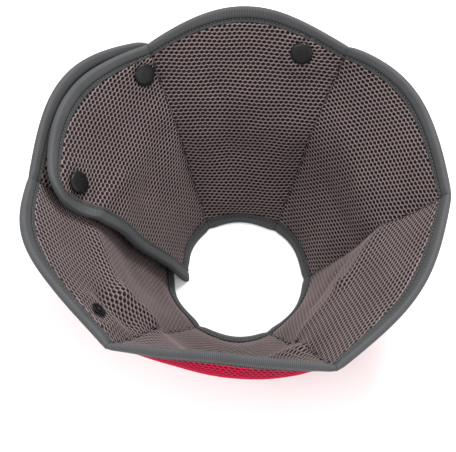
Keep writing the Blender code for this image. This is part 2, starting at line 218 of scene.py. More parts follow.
def seam_point(number, u):
    """A point on a seam: the radius runs straight from foot to corner, less a bell-shaped crease at
    RIDGE_PLACE, and the height runs straight from the tape's fold to the corner."""
    _, angle, rim_share, height_share, neck_share = SEAMS[number]
    foot = NECK_RADIUS * neck_share
    crease = np.exp(-(((u - RIDGE_PLACE) / RIDGE_SPREAD) ** 2))
    radius = foot + (RIM_RADIUS * rim_share - foot) * u - RIDGE_DEPTH * crease
    height = TAPE_FOLD + (DEPTH * height_share - TAPE_FOLD) * u
    return radius[..., None] * radial(angle) + height[..., None] * np.array([0.0, 0.0, 1.0])


def through(u, at_neck, at_ridge, at_rim):
    """The second-degree curve through three values, at u = 0, RIDGE_PLACE and 1."""
    first = at_neck * (u - RIDGE_PLACE) * (u - 1) / RIDGE_PLACE
    second = at_ridge * u * (u - 1) / (RIDGE_PLACE * (RIDGE_PLACE - 1))
    third = at_rim * u * (u - RIDGE_PLACE) / (1 - RIDGE_PLACE)
    return first + second + third


def panel_ways(panel):
    """A panel's three directions: level and out through its middle, up its wall, and off its wall."""
    outward = radial((SEAMS[panel][1] + SEAMS[panel + 1][1]) / 2)
    slope = math.atan2(RIM_RADIUS - NECK_RADIUS, DEPTH)
    up_the_wall = math.sin(slope) * outward + np.array([0.0, 0.0, math.cos(slope)])
    off_the_wall = math.cos(slope) * outward - np.array([0.0, 0.0, math.sin(slope)])
    return outward, up_the_wall, off_the_wall


def wall_point(panel, s, u):
    """A point on the middle of the wall: between the panel's two seams in proportion to s, plus an
    arch outwards, a scallop up the wall and a belly off it. Each is a sine hump h across the panel,
    and for the belly the hump is h (1.5 - 0.5 h^2), which is broader."""
    s, u = np.broadcast_arrays(np.asarray(s, float), np.asarray(u, float))
    _, arch_at_ridge, arch_at_rim, scallop, belly, lean = PANELS[panel]
    first, last = SEAMS[panel], SEAMS[panel + 1]
    half_turn = math.radians(first[1] - last[1]) / 2
    outward, up_the_wall, off_the_wall = panel_ways(panel)
    straight = seam_point(panel, u) * (1 - s[..., None]) + seam_point(panel + 1, u) * s[..., None]
    hump = np.sin(math.pi * np.clip(s, 0, 1) ** (math.log(0.5) / math.log(lean)))
    at_neck = NECK_RADIUS * (first[4] + last[4]) / 2 * (1 - math.cos(half_turn))
    arch = through(u, at_neck, RIM_RADIUS * arch_at_ridge, RIM_RADIUS * arch_at_rim)
    broad_hump = hump * (1.5 - 0.5 * hump**2)
    low_swell = np.sin(math.pi * np.clip(u, 0, 1) ** BELLY_LIFT)
    return (
        straight
        + (arch * hump)[..., None] * outward
        + (RIM_RADIUS * scallop * hump * u**2)[..., None] * up_the_wall
        + (RIM_RADIUS * belly * broad_hump * low_swell)[..., None] * off_the_wall
    )


def slopes(panel, s, u):
    """Unit directions across the panel, up it and out of it, from differences over a small step."""
    step = 1e-4
    across = unit(wall_point(panel, s + step, u) - wall_point(panel, s - step, u))
    upward = unit(wall_point(panel, s, u + step) - wall_point(panel, s, u - step))
    return across, upward, unit(np.cross(upward, across))


def thickness_way(panel, s, u):
    """The direction in which thickness is laid on: the normal, turned into the seam's upright plane
    near a seam and level near the neck, and lengthened to keep the thickness square to the wall."""
    s, u = np.broadcast_arrays(s, u)
    _, _, normal = slopes(panel, s, u)
    way = normal
    for number, distance in ((panel, s), (panel + 1, 1 - s)):
        share = np.clip(1 - distance / SEAM_REACH, 0, 1)[..., None] ** 2
        across_seam = np.cross(radial(SEAMS[number][1]), (0.0, 0.0, 1.0))
        in_plane = way - (way @ across_seam)[..., None] * across_seam
        way = unit(way * (1 - share) + in_plane * share)
    share = np.clip(1 - u / SEAM_REACH, 0, 1)[..., None] ** 2
    way = unit(way * (1 - share) + way * np.array([1.0, 1.0, 0.0]) * share)
    return way / np.sum(way * normal, axis=-1, keepdims=True)


def wall_sizes(panel, u):
    """The panel's width at u, and the length of its middle from neck to rim."""
    width = np.linalg.norm(wall_point(panel, 1.0, u) - wall_point(panel, 0.0, u), axis=-1)
    line = wall_point(panel, 0.5, np.linspace(0, 1, 30))
    return width, np.linalg.norm(np.diff(line, axis=0), axis=1).sum()


def taped_ends(panel):
    """How much of a panel's width its end tape takes, at its first side and at its last."""
    taken = TAPE_WIDTH + GAP
    return (taken if panel == 0 else 0.0), (taken if panel == LAST else 0.0)


def corner_start(below_rim):
    """How far in from a free end its edge lies: a quarter circle at the rim, and nothing below."""
    below = np.clip(below_rim, 0, CORNER)
    return CORNER - np.sqrt(CORNER**2 - (CORNER - below) ** 2)


def edge_runs(panel, s, u):
    """Distances from the two sides and from the tapes at the neck and the rim. A free end's edge
    turns into the rim round a quarter circle, so inside its corner the distance is from that."""
    width, length = wall_sizes(panel, u)
    first, last = s * width, (1 - s) * width
    below = (1 - u) * length
    sides = []
    for number, run in ((0, first), (LAST, last)):
        if panel == number:
            near = (run < CORNER) & (below < CORNER)
            turned = CORNER - np.hypot(CORNER - run, CORNER - below)
            run = np.where(near, turned, run) - TAPE_WIDTH - GAP
        sides.append(run)
    return sides[0], sides[1], u * length - TAPE_WIDTH, below - TAPE_WIDTH


def layer_thickness(panel, s, u):
    """How thick one layer is: a quarter sine from each flattened edge to the full thickness."""
    full = 1.0
    for run in edge_runs(panel, s, u):
        full = full * np.sin(math.pi / 2 * np.clip(run / CROWN_RUN, 0, 1))
    return LAYER_AT_EDGE + (LAYER - LAYER_AT_EDGE) * full


def cone_offset():
    """From the neck's centre to the frame's origin: the middle, seen from above, of the outermost
    face of the rim's tape."""
    outline = []
    places = np.array((0.0, 0.04, 0.10, 0.20, 0.35, 0.50, 0.65, 0.80, 0.90, 0.96, 1.0))
    heights = np.array((0.12, 0.26, 0.42, 0.58, 0.73, 0.86, 1.0))
    for panel in range(len(PANELS)):
        s, u = np.meshgrid(places, heights)
        lift = TAPE_LIFT + TAPE_THICKNESS
        at = wall_point(panel, s, u) + thickness_way(panel, s, u) * lift
        outline.append(at.reshape(-1, 3))
    outline = np.concatenate(outline)
    middle = (outline.min(axis=0) + outline.max(axis=0)) / 2
    return np.array([-middle[0], -middle[1], 0.0])


OFFSET = cone_offset()


def drifted(points, amount):
    """How far the cloth strays off its pattern: five slow sine waves in space, added up."""
    waves = (
        (31.0, -22.0, 17.0, 0.4), (-19.0, 43.0, 11.0, 1.9), (57.0, 29.0, -38.0, 3.1),
        (13.0, -61.0, 47.0, 4.4), (-83.0, 21.0, 66.0, 0.9),
    )
    total = np.zeros(points.shape[:-1])
    for x, y, z, phase in waves:
        total = total + np.sin(points @ np.array([x, y, z]) + phase)
    return amount * total / len(waves)


def creased(points):
    """How far the cloth's creases stand off its pattern: along each crease's straight line its
    height times exp(-(distance / half width)^2), added up over the creases."""
    total = np.zeros(points.shape[:-1])
    for panel, first_s, first_u, last_s, last_u, height, half_width in CREASES:
        first = wall_point(panel, first_s, first_u)
        run = wall_point(panel, last_s, last_u) - first
        share = np.clip((points - first) @ run / (run @ run), 0, 1)
        away = np.linalg.norm(points - first - share[..., None] * run, axis=-1)
        total = total + height * np.exp(-((away / half_width) ** 2))
    return total


def raised(panel, s, u, lift, above=0.0, below=0.0):
    """Points at a height off the wall's middle, positive out of the bowl. They may run on in line
    with the wall, by a length above its rim or by a depth below its neck edge."""
    s, u, lift, above, below = np.broadcast_arrays(s, u, lift, above, below)
    _, upward, _ = slopes(panel, s, u)
    on = above[..., None] - below[..., None] / upward[..., 2:]
    middle = wall_point(panel, s, u)
    way = thickness_way(panel, s, u)
    calm = snap_calm(panel, s, u)
    stray = drifted(middle, bpy.context.scene.cone_sizes.drift) * calm
    if panel == 0:
        width, _ = wall_sizes(panel, u)
        stray = stray - FLAP_LIFT * np.exp(-((s * width / 0.017) ** 2)) * calm
    stray = (stray + creased(middle)) * np.clip(u * 6, 0, 1)
    return middle + way * (lift + stray)[..., None] + upward * on + OFFSET


def snap_places(panel):
    """The snaps' places in a panel, each (across, up). The lap's outer panel carries the mates."""
    found = [(s, u) for _, owner, s, u, _, _ in SNAPS if owner == panel]
    if panel == LAST:
        found += [(node_place(f"snap_cap_{name}_mate")) for name in MATES]
    return found


PLACES = {}


def node_place(name):
    """Where on the lap's outer panel a snap's cap stands: the nearest point of a fine grid."""
    if name not in PLACES:
        low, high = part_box(name)
        middle = (np.array(low) + np.array(high)) / 2 - OFFSET
        s, u = np.meshgrid(np.linspace(0, 1, 201), np.linspace(0.6, 1, 101))
        away = np.linalg.norm(wall_point(LAST, s, u) - middle, axis=-1)
        best = np.unravel_index(away.argmin(), away.shape)
        PLACES[name] = (float(s[best]), float(u[best]))
    return PLACES[name]


def snap_distance(panel, s, u):
    """Distance along the wall to the nearest snap of the panel."""
    nearest = np.full(np.shape(s), 1.0)
    width, length = wall_sizes(panel, u)
    for place_s, place_u in snap_places(panel):
        away = np.hypot((s - place_s) * width, (u - place_u) * length)
        nearest = np.minimum(nearest, away)
    return nearest


def snap_calm(panel, s, u):
    """A share from 0 on a snap to 1 away from it, which keeps the cloth on its pattern there."""
    return np.clip(snap_distance(panel, s, u) / 0.03, 0, 1) ** 2


def snap_pucker(panel, s, u):
    """How much fuller the pad is round a snap: a raised ring outside the cap, and a dip under it."""
    away = snap_distance(panel, s, u)
    ring = np.exp(-(((away - 0.0150) / 0.0045) ** 2))
    dip = np.exp(-((away / 0.0085) ** 2))
    return 0.0013 * ring - 0.0008 * dip


def net_share(panel, s, u):
    """How proud the net stands, as a share: full in the open, and flattened under a tape."""
    share = 1.0
    for run, low in zip(edge_runs(panel, s, u), (0.45, 0.45, 0.25, 0.25)):
        share = share * (low + (1 - low) * np.clip(0.5 + run / 0.003, 0, 1))
    return np.clip(share, 0.25, 1)


def columns(panel, u, shares):
    """Places across a panel for shares from 0 to 1, half a gap short of its seams and end tapes."""
    width, _ = wall_sizes(panel, u)
    first, last = (max(GAP / 2, taped) / width for taped in taped_ends(panel))
    return first + shares * (1 - first - last)


def new_object(name, points, faces, material, smooth=True):
    """A mesh object at the origin, from points and from one array of faces or a list of them."""
    mesh = bpy.data.meshes.new(name)
    lists = faces if isinstance(faces, list) else [faces]
    mesh.from_pydata(points.tolist(), [], [face for part in lists for face in part.tolist()])
    mesh.materials.append(material)
    made = bpy.data.objects.new(name, mesh)
    bpy.context.scene.collection.objects.link(made)
    if smooth:
        mesh.shade_smooth()
    return made


def face_out(made, merge=0.0):
    """Merges doubled points, drops faces without area and turns every closed part outwards."""
    shape = bmesh.new()
    shape.from_mesh(made.data)
    if merge:
        bmesh.ops.remove_doubles(shape, verts=shape.verts, dist=merge)
        bmesh.ops.dissolve_degenerate(shape, edges=shape.edges, dist=merge)
    bmesh.ops.recalc_face_normals(shape, faces=shape.faces)
    shape.to_mesh(made.data)
    shape.free()


def dress(made, slot, *nodes):
    """The piece rides on the one body and stands for its CAD nodes, which are hidden. The slot is not
    used.
    """
    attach(made, "root")
    if nodes:
        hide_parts(*nodes)
    return made


def grid_faces(rows, count, wrap_rows=False):
    """Four-sided faces of a grid of points, closed round on its rows where wanted."""
    index = np.arange(rows * count).reshape(rows, count)
    if wrap_rows:
        index = np.concatenate([index, index[:1]])
    quads = np.stack([index[:-1, :-1], index[:-1, 1:], index[1:, 1:], index[1:, :-1]], -1)
    return quads.reshape(-1, 4)


def rim_of_grid(rows, count):
    """The indices round a grid's edge, in order."""
    index = np.arange(rows * count).reshape(rows, count)
    return np.concatenate([index[0, :-1], index[:-1, -1], index[-1, :0:-1], index[:0:-1, 0]])


def float_attribute(made, name, values):
    """Stores one number at each point of the mesh."""
    layer = made.data.attributes.new(name, "FLOAT", "POINT")
    layer.data.foreach_set("value", np.asarray(values, np.float32).ravel())


def store_uv(made, per_point):
    """Stores a map of two lengths in metres at each point, as the mesh's UV map."""
    mesh = made.data
    corners = np.empty(len(mesh.loops), np.int32)
    mesh.loops.foreach_get("vertex_index", corners)
    layer = mesh.uv_layers.new(name="cloth")
    layer.data.foreach_set("uv", np.asarray(per_point, np.float32)[corners].ravel())


class Nodes:
    """Short calls for building a material from its nodes."""

    def __init__(self, name):
        self.material = bpy.data.materials.get(name) or bpy.data.materials.new(name)
        self.material.use_nodes = True
        self.tree = self.material.node_tree
        self.tree.nodes.clear()
        self.shader = self.add("ShaderNodeBsdfPrincipled")
        out = self.add("ShaderNodeOutputMaterial")
        self.join(self.shader, 0, out, "Surface")
        self.where = self.add("ShaderNodeTexCoord")

    def add(self, kind, **settings):
        """A node with its settings, a setting with a capital letter being an input's value."""
        node = self.tree.nodes.new(kind)
        for key, value in settings.items():
            if key[0].isupper():
                node.inputs[key.replace("_", " ")].default_value = value
            else:
                setattr(node, key, value)
        return node

    def join(self, source, output, target, entry):
        self.tree.links.new(source.outputs[output], target.inputs[entry])

    def noise(self, scale, detail=3.0, source=None, output="Object"):
        """Cloudy noise at so many per metre."""
        made = self.add("ShaderNodeTexNoise", Scale=scale, Detail=detail)
        self.join(source or self.where, output, made, "Vector")
        return made

    def ramp(self, source, output, stops):
        """A colour ramp from (place, colour) pairs."""
        made = self.add("ShaderNodeValToRGB")
        steps = made.color_ramp.elements
        while len(steps) < len(stops):
            steps.new(0.5)
        for step, (place, shade) in zip(steps, stops):
            step.position = place
            step.color = (*shade, 1.0)
        self.join(source, output, made, "Fac")
        return made

    def mix(self, factor, first, second, blend="MIX"):
        """Two colours mixed, each an output of a node as (node, output), by a number or an output."""
        made = self.add("ShaderNodeMix", data_type="RGBA", blend_type=blend)
        for value, entry in ((factor, 0), (first, 6), (second, 7)):
            if isinstance(value, tuple) and hasattr(value[0], "outputs"):
                self.tree.links.new(value[0].outputs[value[1]], made.inputs[entry])
            elif isinstance(value, tuple):
                made.inputs[entry].default_value = (*value, 1.0)
            else:
                made.inputs[entry].default_value = value
        return made

    def finish(self, **values):
        """Sets inputs of the shader, and gives the material."""
        for key, value in values.items():
            self.shader.inputs[key.replace("_", " ")].default_value = value
        return self.material

    def bump(self, source, output, strength, distance, under=None):
        """A small relief from a node's output, laid over another relief where one is given."""
        made = self.add("ShaderNodeBump", Strength=strength, Distance=distance)
        self.join(source, output, made, "Height")
        if under:
            self.join(under, "Normal", made, "Normal")
        self.join(made, "Normal", self.shader, "Normal")
        return made


def tint(shade, factor):
    """A colour made lighter or darker."""
    return tuple(min(1.0, part * factor) for part in shade)


def net_material(name, shade):
    """Knitted strands with painted light and shade: a painted highlight on their tops and painted shade
    down into the holes, with slow fading, thread flecks and fine relief.
    """
    made = Nodes(name)
    depth = made.add("ShaderNodeAttribute", attribute_name="depth")
    # Painted highlight on the strands' tops and painted shade down into the holes, read from the depth
    # value
    down = made.ramp(depth, "Fac", (
        (0.0, tint(shade, 2.6)), (0.25, tint(shade, 1.50)), (0.55, tint(shade, 0.60)),
        (1.0, tint(shade, 0.08)),
    ))
    slow = made.noise(26.0, 2.0)
    fade = made.ramp(slow, "Fac", ((0.3, (0.86, 0.86, 0.86)), (0.7, (1.0, 1.0, 1.0))))
    fleck = made.noise(1500.0, 2.0)
    flecks = made.ramp(fleck, "Fac", ((0.35, (0.74, 0.74, 0.74)), (0.65, (1.0, 1.0, 1.0))))
    faded = made.mix(1.0, (down, "Color"), (fade, "Color"), "MULTIPLY")
    final = made.mix(0.8, (faded, 2), (flecks, "Color"), "MULTIPLY")
    made.join(final, 2, made.shader, "Base Color")
    grain = made.noise(2600.0, 1.0)
    under = made.bump(fleck, "Fac", 0.5, 0.0002)
    made.bump(grain, "Fac", 0.3, 0.0001, under)
    return made.finish(
        Roughness=0.66, Specular_IOR_Level=0.15, Sheen_Weight=0.06, Sheen_Roughness=0.45,
        Sheen_Tint=(*tint(shade, 3.0), 1.0),
    )


def pad_material(name, shade):
    """Spacer cloth seen through the net: its own dark tone with the holes' shade painted in, and upright
    yarn flecks.
    """
    made = Nodes(name)
    yarn = made.noise(900.0, 3.0)
    final = made.ramp(yarn, "Fac", (
        (0.3, tint(shade, 0.5)), (0.55, shade), (0.8, tint(shade, 2.4)),
    ))
    made.join(final, "Color", made.shader, "Base Color")
    made.bump(yarn, "Fac", 0.7, 0.0006)
    return made.finish(Specular_IOR_Level=0.08, Roughness=0.9)


def tape_material(name, shade):
    """Ribbed tape: a painted highlight on the ribs, painted shade between them, in the stitch groove, at
    the edges and on the hidden inner faces, and paler at the fold.
    """
    made = Nodes(name)
    fold_paling = made.add("ShaderNodeAttribute", attribute_name="fold_paling")
    rib = made.add("ShaderNodeAttribute", attribute_name="rib")
    # Painted light and shade from the rib value: a painted highlight on each rib, painted shade between
    # the ribs, in the stitch groove, at the edges and on the inner faces
    shaded = made.ramp(rib, "Fac", (
        (0.0, tint(shade, 0.20)), (0.5, tint(shade, 0.85)), (1.0, tint(shade, 1.7)),
    ))
    slow = made.noise(34.0, 3.0)
    fade = made.ramp(slow, "Fac", ((0.3, (0.80, 0.80, 0.80)), (0.7, (1.0, 1.0, 1.0))))
    first = made.mix(1.0, (shaded, "Color"), (fade, "Color"), "MULTIPLY")
    final = made.mix((fold_paling, "Fac"), (first, 2), tint(shade, 1.7))
    made.join(final, 2, made.shader, "Base Color")
    weft = made.add("ShaderNodeTexWave", Scale=420.0, Distortion=0.6, Detail=1.0)
    weft.bands_direction = "Y"
    made.join(made.where, "UV", weft, "Vector")
    fuzz = made.noise(1900.0, 2.0)
    under = made.bump(weft, "Fac", 0.35, 0.0001)
    made.bump(fuzz, "Fac", 0.35, 0.00015, under)
    return made.finish(
        Roughness=0.68, Specular_IOR_Level=0.2, Sheen_Weight=0.05, Sheen_Roughness=0.4,
    )


def thread_material(name, shade):
    """Twisted sewing thread: slanting stripes with a soft shine."""
    made = Nodes(name)
    twist = made.add("ShaderNodeTexWave", Scale=700.0, Distortion=1.5, Detail=1.0)
    made.join(made.where, "Object", twist, "Vector")
    final = made.ramp(twist, "Fac", ((0.2, tint(shade, 0.6)), (0.8, tint(shade, 1.3))))
    made.join(final, "Color", made.shader, "Base Color")
    made.bump(twist, "Fac", 0.3, 0.0001)
    return made.finish(Roughness=0.5, Sheen_Weight=0.2)


def plastic_material(name, shade):
    """Moulded plastic: a faint grain, soft scuffs and a satin shine."""
    made = Nodes(name)
    cloud = made.noise(300.0, 3.0)
    final = made.ramp(cloud, "Fac", ((0.3, shade), (0.75, tint(shade, 1.5))))
    made.join(final, "Color", made.shader, "Base Color")
    rough = made.ramp(cloud, "Fac", ((0.3, (0.30, 0.30, 0.30)), (0.7, (0.44, 0.44, 0.44))))
    made.join(rough, "Color", made.shader, "Roughness")
    grain = made.noise(3500.0, 1.0)
    made.bump(grain, "Fac", 0.12, 0.00005)
    return made.finish(Specular_IOR_Level=0.22)


def floor_material(name, shade):
    """A pale matt floor with the faintest cloudiness."""
    made = Nodes(name)
    cloud = made.noise(3.0, 2.0)
    final = made.ramp(cloud, "Fac", ((0.3, tint(shade, 0.985)), (0.7, shade)))
    made.join(final, "Color", made.shader, "Base Color")
    return made.finish(Roughness=0.9)


def finish_of(name):
    """The material of a name, made when it is first asked for."""
    found = bpy.data.materials.get(name)
    if found and found.get("cone_finish"):
        return found
    shades = bpy.context.scene.cone_colours
    makers = {
        "grey_net": (net_material, shades.grey_net),
        "crimson_net": (net_material, shades.crimson_net),
        "grey_pad": (pad_material, shades.grey_pad),
        "crimson_pad": (pad_material, shades.crimson_pad),
        "ribbed_tape": (tape_material, shades.tape),
        "sewing_thread": (thread_material, shades.thread),
        "snap_plastic": (plastic_material, shades.plastic),
        "pale_floor": (floor_material, shades.floor),
    }
    maker, shade = makers[name]
    made = maker(name, tuple(shade))
    made["cone_finish"] = True
    return made


def pad_top(panel, side, s, u):
    """The height of a pad's face off the wall's middle, less the net that stands on it."""
    sizes = bpy.context.scene.cone_sizes
    thick = layer_thickness(panel, s, u) + snap_pucker(panel, s, u)
    thick = thick - sizes.net_height * net_share(panel, s, u)
    return side * (GAP / 2 + np.maximum(thick, 0.0003))


PAD_ROWS = 61
PAD_COLUMNS = 53


def make_pad(panel, side):
    """One pad: a grid on the wall's middle and a matching crowned grid off it, closed round."""
    word = SIDE_WORDS[side]
    u = np.linspace(0, 1, PAD_ROWS)[:, None]
    width, length = wall_sizes(panel, u)
    start, end = GAP / 2 / width, GAP / 2 / width
    if panel == 0:
        start = corner_start((1 - u) * length) / width
    if panel == LAST:
        end = corner_start((1 - u) * length) / width
    s = start + np.linspace(0, 1, PAD_COLUMNS)[None, :] * (1 - start - end)
    near = raised(panel, s, u, side * GAP / 2)
    far = raised(panel, s, u, pad_top(panel, side, s, u))
    points = np.concatenate([near.reshape(-1, 3), far.reshape(-1, 3)])
    count = near[..., 0].size
    face = grid_faces(PAD_ROWS, PAD_COLUMNS)
    edge = rim_of_grid(PAD_ROWS, PAD_COLUMNS)
    around = np.roll(edge, -1)
    sides = np.stack([around, edge, edge + count, around + count], -1)
    name = f"{word}_pad_{PANELS[panel][0]}"
    cloth = "crimson_pad" if side == OUTER else "grey_pad"
    made = new_object(name, points, [face, face[:, ::-1] + count, sides], finish_of(cloth))
    face_out(made)
    made.data.set_sharp_from_angle(angle=math.radians(50))
    slot = "crimson_air_mesh" if side == OUTER else "grey_air_mesh"
    dress(made, slot, f"{word}_mesh_{PANELS[panel][0]}")
    return made


def plane_place(panel, s, u):
    """A panel's point seen square to the panel: metres along its rim's chord and up its wall."""
    outward, up_the_wall, _ = panel_ways(panel)
    along = np.cross(outward, (0.0, 0.0, 1.0))
    middle = wall_point(panel, s, u)
    return np.stack([middle @ along, middle @ up_the_wall], -1)


def from_plane(panel, wanted):
    """The (s, u) whose place in the panel's plane is the wanted one, by Newton's steps."""
    corners = plane_place(panel, np.array([0.0, 1.0, 0.0, 1.0]), np.array([0.0, 0.0, 1.0, 1.0]))
    u = (wanted[..., 1] - corners[0, 1]) / (corners[2, 1] - corners[0, 1])
    left = corners[0, 0] + (corners[2, 0] - corners[0, 0]) * u
    right = corners[1, 0] + (corners[3, 0] - corners[1, 0]) * u
    s = (wanted[..., 0] - left) / (right - left)
    step = 1e-4
    for _ in range(5):
        s, u = np.clip(s, -0.1, 1.1), np.clip(u, -0.1, 1.15)
        here = plane_place(panel, s, u)
        by_s = (plane_place(panel, s + step, u) - here) / step
        by_u = (plane_place(panel, s, u + step) - here) / step
        miss = wanted - here
        area = by_s[..., 0] * by_u[..., 1] - by_s[..., 1] * by_u[..., 0]
        s = s + (miss[..., 0] * by_u[..., 1] - miss[..., 1] * by_u[..., 0]) / area
        u = u + (by_s[..., 0] * miss[..., 1] - by_s[..., 1] * miss[..., 0]) / area
    return s, u


def pulled(panel, places):
    """Places in a panel's plane with the net's slow waver added to their height, and drawn in
    towards each snap by a share of their distance that fades as a bell curve."""
    across, up = places[..., 0], places[..., 1]
    waver = np.sin(across / 0.0072 + up / 0.011) + np.sin(across / 0.0131 - up / 0.017 + 1.3)
    places = np.stack([across, up + NET_WAVER * waver], -1)
    for s, u in snap_places(panel):
        away = places - plane_place(panel, np.array(s), np.array(u))
        far = np.linalg.norm(away, axis=-1, keepdims=True)
        places = places - away * NET_PULL * np.exp(-((far / PULL_REACH) ** 2))
    return places


def net_cells(panel):
    """Middles of the net's holes in the panel's plane: rows along the rim's chord, each second row
    moved on by half a hole. Only holes on the panel and clear of its end tapes are kept."""
    sizes = bpy.context.scene.cone_sizes
    box_s, box_u = np.meshgrid(np.linspace(0, 1, 21), np.linspace(0, 1, 21))
    spread = plane_place(panel, box_s, box_u).reshape(-1, 2)
    low, high = spread.min(axis=0), spread.max(axis=0)
    pitch, rows = sizes.hole_pitch, sizes.row_pitch
    x = np.arange(low[0] - pitch, high[0] + pitch, pitch)
    y = np.arange(low[1] - rows, high[1] + rows, rows)
    across, up = np.meshgrid(x, y)
    across = across + (np.arange(len(y)) % 2)[:, None] * pitch / 2
    cells = np.stack([across.ravel(), up.ravel()], -1)
    s, u = from_plane(panel, cells)
    runs = edge_runs(panel, s, u)
    cover = 0.0035
    keep = (runs[0] > -cover * (panel == 0)) & (runs[1] > -cover * (panel == LAST))
    keep &= (runs[2] > -cover) & (runs[3] > -cover)
    return cells[keep]


# The net's four rings, from the strands' middle to the pad: height as a share of the net's, how much
# lower it is between the holes of one row, painted shade from 0, a painted highlight, to 1, dark, and
# how much more painted shade there is between the holes of one row
RING_HEIGHTS = np.array([1.0, 0.86, 0.30, -0.10])
RING_DROPS = np.array([0.45, 0.40, 0.10, 0.0])
RING_PAINTED_SHADE = np.array([0.25, 0.35, 0.80, 1.0])
RING_PAINTED_SHADE_BETWEEN = np.array([0.33, 0.25, 0.0, 0.0])
# The lighter loops along the rim's tape, painted by taking painted shade off the net: their distance
# from it, their spread and how much painted shade they take off
LOOPS_AT = 0.0010
LOOPS_SPREAD = 0.0016
LOOPS_SHADE_TAKEN_OFF = 0.25


def make_net(panel, side):
    """The net on a pad's face, laid on the wall's surface. Round each hole lie four rings of eight
    points: the strands' middle, shared with the holes beside it, their shoulder, their edge, and a ring
    down on the pad. The strands between the holes of one row stand lower and get more painted shade."""
    sizes = bpy.context.scene.cone_sizes
    cells = net_cells(panel)
    pitch, rows = sizes.hole_pitch, sizes.row_pitch
    slant = np.array([(1.0, 0.0), (HOLE_SLANT, 1.0)])
    corner = np.array([
        (0.0, rows * 2 / 3), (pitch / 2, rows / 3), (pitch / 2, 0.0), (pitch / 2, -rows / 3),
        (0.0, -rows * 2 / 3), (-pitch / 2, -rows / 3), (-pitch / 2, 0.0), (-pitch / 2, rows / 3),
    ])
    between = np.array([0.0, 0.0, 1.0, 0.0, 0.0, 0.0, 1.0, 0.0])
    hole = 1 - sizes.strand / min(pitch, rows * 4 / 3)
    open_corner = corner * hole @ slant
    rings = np.stack([corner, (corner + open_corner) / 2, open_corner, open_corner * 0.92])
    flat = pulled(panel, cells[:, None, None, :] + rings[None])
    s, u = from_plane(panel, flat)
    width, _ = wall_sizes(panel, u)
    first, last = (max(GAP / 2, taken - 0.004) / width for taken in taped_ends(panel))
    s = np.clip(s, first, 1 - last)
    heights = RING_HEIGHTS[:, None] - between * RING_DROPS[:, None]
    proud = sizes.net_height * net_share(panel, s, u)
    lift = pad_top(panel, side, s, u) + side * proud * heights
    points = raised(panel, s, u, lift)
    count = len(cells)
    index = np.arange(count * 32).reshape(count, 4, 8)
    following = np.roll(index, -1, axis=2)
    quads = np.stack([index[:, :-1], following[:, :-1], following[:, 1:], index[:, 1:]], -1)
    word = SIDE_WORDS[side]
    cloth = "crimson_net" if side == OUTER else "grey_net"
    name = f"{word}_net_{PANELS[panel][0]}"
    quads = quads.reshape(-1, 4)
    if side == INNER:
        quads = quads[:, ::-1]
    made = new_object(name, points.reshape(-1, 3), quads, finish_of(cloth))
    # Painted light and shade on the net: a painted highlight on the strands' tops, painted shade down
    # the holes and between the holes of one row, and less painted shade along the rim's tape
    down = RING_PAINTED_SHADE[:, None] + between * RING_PAINTED_SHADE_BETWEEN[:, None]
    _, _, _, from_tape = edge_runs(panel, s, u)
    loops = np.exp(-(((from_tape - LOOPS_AT) / LOOPS_SPREAD) ** 2))
    float_attribute(made, "depth", down - LOOPS_SHADE_TAKEN_OFF * loops)
    clean_net(made)
    slot = "crimson_air_mesh" if side == OUTER else "grey_air_mesh"
    return dress(made, slot)


def clean_net(made):
    """Joins the corners that neighbouring holes share, and drops faces squeezed flat at an edge."""
    shape = bmesh.new()
    shape.from_mesh(made.data)
    bmesh.ops.remove_doubles(shape, verts=shape.verts, dist=2e-5)
    bmesh.ops.dissolve_degenerate(shape, edges=shape.edges, dist=1e-6)
    shape.to_mesh(made.data)
    shape.free()
    made.data.shade_smooth()


def tape_section():
    """The folded tape's closed section as rows of (distance in from the edge, height, outer share).
    Both leaves are softly domed, dip at their stitch line and join in a round fold."""
    dip_at = TAPE_WIDTH - STITCH_IN
    outer = TAPE_LIFT + TAPE_THICKNESS
    distance = np.array([0.0, 0.10, 0.22, 0.27, 0.33, 0.45, 0.62, 0.80, 0.92])
    inward = TAPE_WIDTH * (1 - distance)
    dome = 0.00025 * np.sin(math.pi * np.clip((dip_at - inward) / dip_at, 0, 1))
    dip = 0.00125 * np.exp(-(((inward - dip_at) / 0.0009) ** 2))
    edge = np.where(distance == 0, 0.0005, 0.0)
    leaf = np.stack([inward, outer + dome - dip - edge, np.where(distance == 0, 0.3, 1.0)], -1)
    turn = np.radians(np.array([66, 42, 18, 0, -18, -42, -66]))
    reach = TAPE_FOLD + 0.0006
    fold = np.stack([
        0.0006 - reach * np.cos(turn), outer * np.sin(turn), np.ones(len(turn)),
    ], -1)
    back = leaf[::-1] * np.array([1.0, -1.0, 1.0])
    inner = np.array([
        (TAPE_WIDTH, -TAPE_LIFT, 0.0), (-GAP, -TAPE_LIFT, 0.0),
        (-GAP, TAPE_LIFT, 0.0), (TAPE_WIDTH, TAPE_LIFT, 0.0),
    ])
    return np.concatenate([leaf, fold, back, inner])


